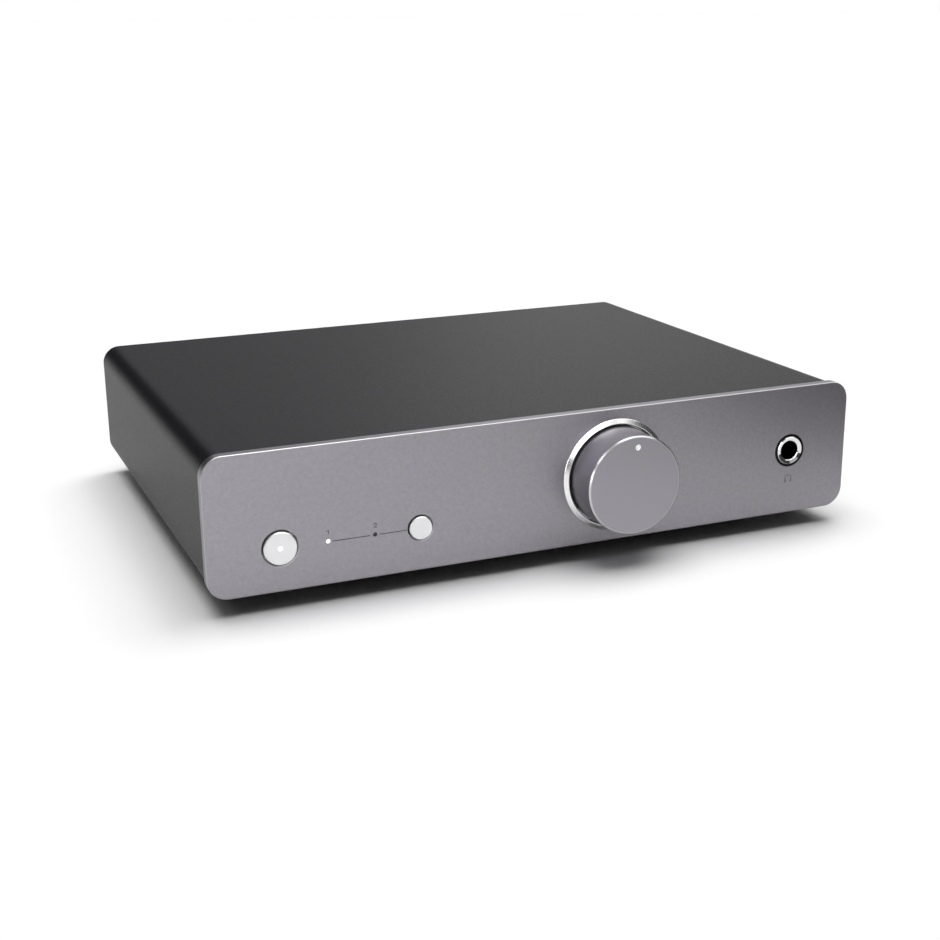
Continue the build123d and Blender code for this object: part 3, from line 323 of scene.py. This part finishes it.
FINISH = {
    "plate_aluminium": plate_mat, "knob_aluminium": knob_mat, "polished_aluminium": ring_mat,
    "case_coat": case_mat, "panel_coat": panel_mat, "zinc_steel": zinc_mat, "black_screws": screw_mat,
    "rubber_black": rubber_mat, "circuit_board": board_mat, "black_plastic": black_mat, "pot_metal": can_mat,
    "marker_bright": marker_mat, "lit_guide": lit_mat, "dark_guide": dark_mat, "emitter": emitter_mat,
    "nickel": nickel_mat, "gold_contact": gold_mat, "brass_post": brass_mat, "white_plastic": white_mat,
    "red_plastic": red_mat, "lever_plastic": lever_mat, "ferrite": ferrite_mat, "heatsink_black": heatsink_mat,
    "capacitor_can": cap_mat, "film_box": film_mat, "cable_grey": cable_mat,
}
slot_of = {s["node"]: s["material_slot"] for s in frame["record"]["subparts"]}


def dress(obj, finish):
    while len(obj.material_slots) < 1:
        obj.data.materials.append(None)
    for k in range(len(obj.material_slots)):
        obj.material_slots[k].material = finish.m


for node, obj in N.items():
    slot = slot_of[node]
    if node == "power_button":
        dress(obj, power_mat)
    elif node == "select_button":
        dress(obj, select_mat)
    elif node == "knob_marker":
        dress(obj, marker_mat)
    elif node == "headphone_jack":
        dress(obj, nose_mat)
    elif node == "jack_bushing":
        dress(obj, bushing_mat)
    else:
        dress(obj, FINISH[slot])


# ================================================================ new pieces
def solid(name, bm, finish, body):
    """A finished piece from a bmesh in millimetres."""
    bmesh.ops.scale(bm, vec=(MM, MM, MM), verts=bm.verts)
    bmesh.ops.recalc_face_normals(bm, faces=bm.faces)
    me = bpy.data.meshes.new(name)
    bm.to_mesh(me)
    bm.free()
    obj = bpy.data.objects.new(name, me)
    bpy.context.scene.collection.objects.link(obj)
    me.materials.append(finish.m)
    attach(obj, body)
    return obj


def prism(bm, outline, y0, y1):
    """A closed outline of (x, z) points, from depth y0 to depth y1."""
    a = [bm.verts.new((x, y0, z)) for x, z in outline]
    b = [bm.verts.new((x, y1, z)) for x, z in outline]
    n = len(outline)
    for k in range(n):
        bm.faces.new((a[k], a[(k + 1) % n], b[(k + 1) % n], b[k]))
    bm.faces.new(a)
    bm.faces.new(list(reversed(b)))


def stroke(points, width, closed=False, caps=True):
    """The outline of a line of that width through the points, with rounded ends."""
    half = width / 2
    left, right = [], []
    n = len(points)
    for k, (x, z) in enumerate(points):
        px, pz = points[max(k - 1, 0)]
        qx, qz = points[min(k + 1, n - 1)]
        d = Vector((qx - px, qz - pz)).normalized()
        left.append((x - d.y * half, z + d.x * half))
        right.append((x + d.y * half, z - d.x * half))
    ends = []
    if caps:
        for (cx, cz), (px, pz) in ((points[-1], points[-2]), (points[0], points[1])):
            d = Vector((cx - px, cz - pz)).normalized()
            a0 = math.atan2(d.y, d.x) + math.pi / 2
            ends.append([(cx + half * math.cos(a0 - t * math.pi / 8), cz + half * math.sin(a0 - t * math.pi / 8))
                         for t in range(1, 8)])
    else:
        ends = [[], []]
    return left + ends[0] + list(reversed(right)) + ends[1]


def arc(cx, cz, r, a0, a1, n=24):
    return [(cx + r * math.cos(math.radians(a0 + (a1 - a0) * k / n)),
             cz + r * math.sin(math.radians(a0 + (a1 - a0) * k / n))) for k in range(n + 1)]


INK = 0.02                     # an ink layer's height, mm


def printed(name, strokes, y, side, finish):
    """Ink lines on a face at depth y. side is -1 on the front and +1 on the rear."""
    bm = bmesh.new()
    for outline in strokes:
        prism(bm, outline, y, y + side * INK)
    return solid(name, bm, finish, "chassis")


def disc_outline(cx, cz, r, n=32):
    return [(cx + r * math.cos(2 * math.pi * k / n), cz + r * math.sin(2 * math.pi * k / n)) for k in range(n)]


# Line from the first light past the second one to the select button.
printed("printed_line", [stroke([(LED1_X + 1.27, Z_CTRL - 0.1), (LED2_X - 1.7, Z_CTRL - 0.1)], 0.26),
                         stroke([(LED2_X + 1.42, Z_CTRL - 0.1), (SELECT_X - 4.55, Z_CTRL - 0.1)], 0.26)],
        Y_FACE, -1, ink_dark)


def one(cx, cz, k=1.0, flip=1):
    """A plain 1, centred at (cx, cz). flip is -1 on the rear, where +X runs to the left."""
    return [(cx + flip * k * u, cz + k * v) for u, v in ((-0.38, 0.32), (0.14, 0.62), (0.14, -0.62))]


def two(cx, cz, k=1.0, flip=1):
    """A plain 2, centred at (cx, cz)."""
    pts = arc(0.0, 0.22, 0.42, 165, -38, 14) + [(-0.46, -0.62), (0.48, -0.62)]
    return [(cx + flip * k * u, cz + k * v) for u, v in pts]


# Plain numbers over the two input lights, 1.5 mm high.
printed("number_1", [stroke(one(LED1_X, Z_CTRL + 2.82), 0.25)], Y_FACE, -1, ink_dark)
printed("number_2", [stroke(two(LED2_X, Z_CTRL + 2.82), 0.25)], Y_FACE, -1, ink_dark)
# Headphone sign under the socket: a band over two ear pads.
HX, HZ = 86.0, 17.2
printed("headphone_sign", [stroke(arc(HX, HZ, 1.15, 180, 0, 24), 0.22),
                           stroke([(HX - 1.15, HZ), (HX - 1.15, HZ - 0.25)], 0.22),
                           stroke([(HX + 1.15, HZ), (HX + 1.15, HZ - 0.25)], 0.22),
                           stroke([(HX - 1.05, HZ - 0.45), (HX - 1.05, HZ - 1.10)], 0.5),
                           stroke([(HX + 1.05, HZ - 0.45), (HX + 1.05, HZ - 1.10)], 0.5)],
        Y_FACE, -1, ink_faint)


# Rear marks: a bracket and a plain number over each pair of inputs, an arrow over the outputs, a scale round the
# balance knob, an earth sign over the ground post and the two positions of the slide switch.
def bracket(x0, x1, z, drop):
    return [(x0, z - drop), (x0, z), (x1, z), (x1, z - drop)]


rear = []
for a, b in ((86.0, 71.0), (43.0, 28.0), (-9.0, -24.0)):
    rear.append(stroke(bracket(a, b, 35.2, 1.6), 0.32))
rear.append(stroke(one(78.5, 38.6, 1.6, -1), 0.42))
rear.append(stroke(two(35.5, 38.6, 1.6, -1), 0.42))
rear.append(stroke([(-16.5, 36.8), (-16.5, 40.2)], 0.42))
rear.append(stroke([(-17.9, 38.9), (-16.5, 40.3), (-15.1, 38.9)], 0.42))
for k in range(-140, 141, 20):
    u, v = math.sin(math.radians(k)), math.cos(math.radians(k))
    r1 = 9.0 if k % 140 else 9.6
    rear.append(stroke([(BALANCE_X + 7.6 * u, RCA_Z + 7.6 * v), (BALANCE_X + r1 * u, RCA_Z + r1 * v)], 0.30))
rear.append(stroke([(GROUND_X, 34.6), (GROUND_X, 36.6)], 0.32))
for half, z in ((1.9, 34.6), (1.25, 33.8), (0.6, 33.0)):
    rear.append(stroke([(GROUND_X - half, z), (GROUND_X + half, z)], 0.32))
rear.append(disc_outline(SLIDE_X + 1.8, 29.0, 0.45))
rear.append(arc(SLIDE_X - 1.8, 29.0, 0.60, 0, 330, 22) + arc(SLIDE_X - 1.8, 29.0, 0.34, 330, 0, 22))
printed("rear_marks", rear, Y_REAR, 1, ink_white)


# ================================================================ stage, lights, camera
def stage_floor():
    """A wide white table. Past its front edge and its cut front right corner, shiny parts see the dark."""
    bm = bmesh.new()
    s, front = 40.0, -0.292
    outline = ((-s, front), (0.132, front), (0.132, -0.165), (0.205, -0.130), (s, -0.130), (s, s), (-s, s))
    bm.faces.new([bm.verts.new((x, y, 0)) for x, y in outline])
    me = bpy.data.meshes.new("studio_floor")
    bm.to_mesh(me)
    bm.free()
    obj = bpy.data.objects.new("studio_floor", me)
    bpy.context.scene.collection.objects.link(obj)
    s = varied("studio_floor_paper", (0.93, 0.93, 0.93), 0.90, spread=0.004, size=40.0, rough_spread=0.02, bumps=(),
               specular=0.0)
    me.materials.append(s.m)
    return obj


stage_floor()


def sun(name, azimuth, elevation, strength, angle, shine_only=False):
    """A round softbox far off. Azimuth is counted from +Y (behind) towards +X (right), in degrees."""
    a, e = math.radians(azimuth), math.radians(elevation)
    to = Vector((math.sin(a) * math.cos(e), math.cos(a) * math.cos(e), math.sin(e)))
    data = bpy.data.lights.new(name, "SUN")
    data.energy, data.angle = strength, math.radians(angle)
    obj = bpy.data.objects.new(name, data)
    obj.rotation_mode = "QUATERNION"
    obj.rotation_quaternion = to.to_track_quat("Z", "Y")
    obj.visible_diffuse = not shine_only
    bpy.context.scene.collection.objects.link(obj)
    return obj


def softbox(name, place, size, aim, power):
    """A near rectangular softbox that shiny surfaces see. Its place, size and aim are in millimetres."""
    data = bpy.data.lights.new(name, "AREA")
    data.shape, data.size, data.size_y, data.energy = "RECTANGLE", size[0] * MM, size[1] * MM, power
    obj = bpy.data.objects.new(name, data)
    away = Vector(place) - Vector(aim)
    obj.rotation_mode = "QUATERNION"
    obj.rotation_quaternion = away.to_track_quat("Z", "Y")
    obj.location = Vector(place) * MM
    obj.visible_diffuse = obj.visible_camera = False
    bpy.context.scene.collection.objects.link(obj)
    return obj


LIGHTS = [("overhead", 0, 90, 1.594, 46), ("rear_high", 0, 72, 0.645, 46), ("right_high", 60, 60, 0.806, 28),
          ("left_high", 315, 62, 0.345, 46), ("rear_low_right", 35, 16, 0.156, 28), ("rear_low", 12, 26, 0.105, 28),
          ("rear_glint", 24, 24, 0.045, 18, True), ("softbox_right", 165, 26, 0.220, 46, True),
          ("softbox_side", 125, 52, 1.30, 60, True)]
for spec in LIGHTS:
    sun(*spec)
softbox("softbox_front", (-60, -300, 150), (300, 200), (-60, -80, 26), 0.700)
softbox("softbox_front_left", (-200, -260, 60), (160, 90), (-60, -80, 26), 0.150)


def world(ambient):
    """White towards the camera's own rays, and an even soft fill for everything else."""
    w = bpy.data.worlds.new("studio")
    bpy.context.scene.world = w
    w.use_nodes = True
    t = w.node_tree
    t.nodes.clear()
    out = t.nodes.new("ShaderNodeOutputWorld")
    mix = t.nodes.new("ShaderNodeMixShader")
    path = t.nodes.new("ShaderNodeLightPath")
    fill, back = t.nodes.new("ShaderNodeBackground"), t.nodes.new("ShaderNodeBackground")
    fill.name = "fill"
    fill.inputs[0].default_value = (1, 1, 1, 1)
    fill.inputs[1].default_value = ambient
    back.inputs[0].default_value = (1, 1, 1, 1)
    back.inputs[1].default_value = 1.0
    t.links.new(path.outputs["Is Camera Ray"], mix.inputs[0])
    t.links.new(fill.outputs[0], mix.inputs[1])
    t.links.new(back.outputs[0], mix.inputs[2])
    t.links.new(mix.outputs[0], out.inputs[0])


world(0.06)


def camera():
    yaw, pitch, roll = math.radians(22.730), math.radians(17.147), math.radians(-0.545)
    fwd = Vector((math.sin(yaw) * math.cos(pitch), math.cos(yaw) * math.cos(pitch), -math.sin(pitch)))
    right = Vector((math.cos(yaw), -math.sin(yaw), 0.0))
    up = right.cross(fwd)
    r2 = right * math.cos(roll) + up * math.sin(roll)
    u2 = up * math.cos(roll) - right * math.sin(roll)
    data = bpy.data.cameras.new("camera")
    data.sensor_width = 36.0
    data.lens = 1482.587 / 940 * 36.0
    obj = bpy.data.objects.new("camera", data)
    bpy.context.scene.collection.objects.link(obj)
    m = Matrix((r2, u2, -fwd)).transposed().to_4x4()
    m.translation = Vector((-189.212, -466.813, 164.097)) * MM
    obj.matrix_world = m
    bpy.context.scene.camera = obj


camera()
bpy.context.scene.view_settings.view_transform = "Standard"
bpy.context.scene.view_settings.look = "None"

import json
